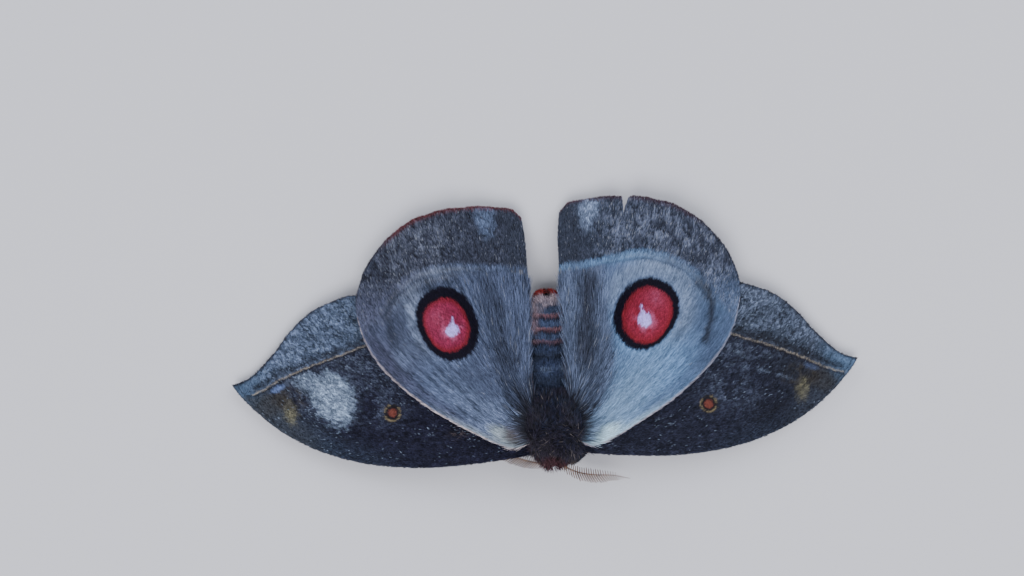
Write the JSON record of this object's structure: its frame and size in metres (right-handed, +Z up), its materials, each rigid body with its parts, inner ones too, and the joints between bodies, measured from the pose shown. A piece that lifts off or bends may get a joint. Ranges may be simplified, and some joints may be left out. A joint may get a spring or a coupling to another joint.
{
  "type": "moth model",
  "caption": "Life-size silk moth at rest in its threat pose, hindwings drawn forward over the forewings so that a red eyespot shows on each.",
  "frame": {"origin": "middle of the model's footprint, on the surface that it stands on", "axes": "+X towards the tips of the right-hand wings in the view from above with the head nearest, +Y towards the tip of the abdomen, +Z up"},
  "size_m": [0.0702, 0.0324, 0.0078],
  "materials": {
    "forewing": "matt blue-black scales with pale flecks and a thin tan line",
    "hindwing": "matt blue-grey scales and hairs, with a red eyespot in a black ring",
    "coat": "long, soft, brown-black hair",
    "abdomen": "short blue-grey hair with red rings and a pinkish tuft",
    "leg": "short dark hair and scales",
    "eye": "glossy black, finely faceted",
    "antenna": "satin tan horn"
  },
  "bodies": {
    "root": {"thorax": "coat", "head": "coat", "abdomen": "abdomen", "eye_left": "eye", "eye_right": "eye", "antenna_left": "antenna", "antenna_right": "antenna", "forewing_left": "forewing", "forewing_right": "forewing", "hindwing_left": "hindwing", "hindwing_right": "hindwing", "leg_fore_left": "leg", "leg_fore_right": "leg", "leg_mid_left": "leg", "leg_mid_right": "leg", "leg_hind_left": "leg", "leg_hind_right": "leg"}
  },
  "joints": []
}
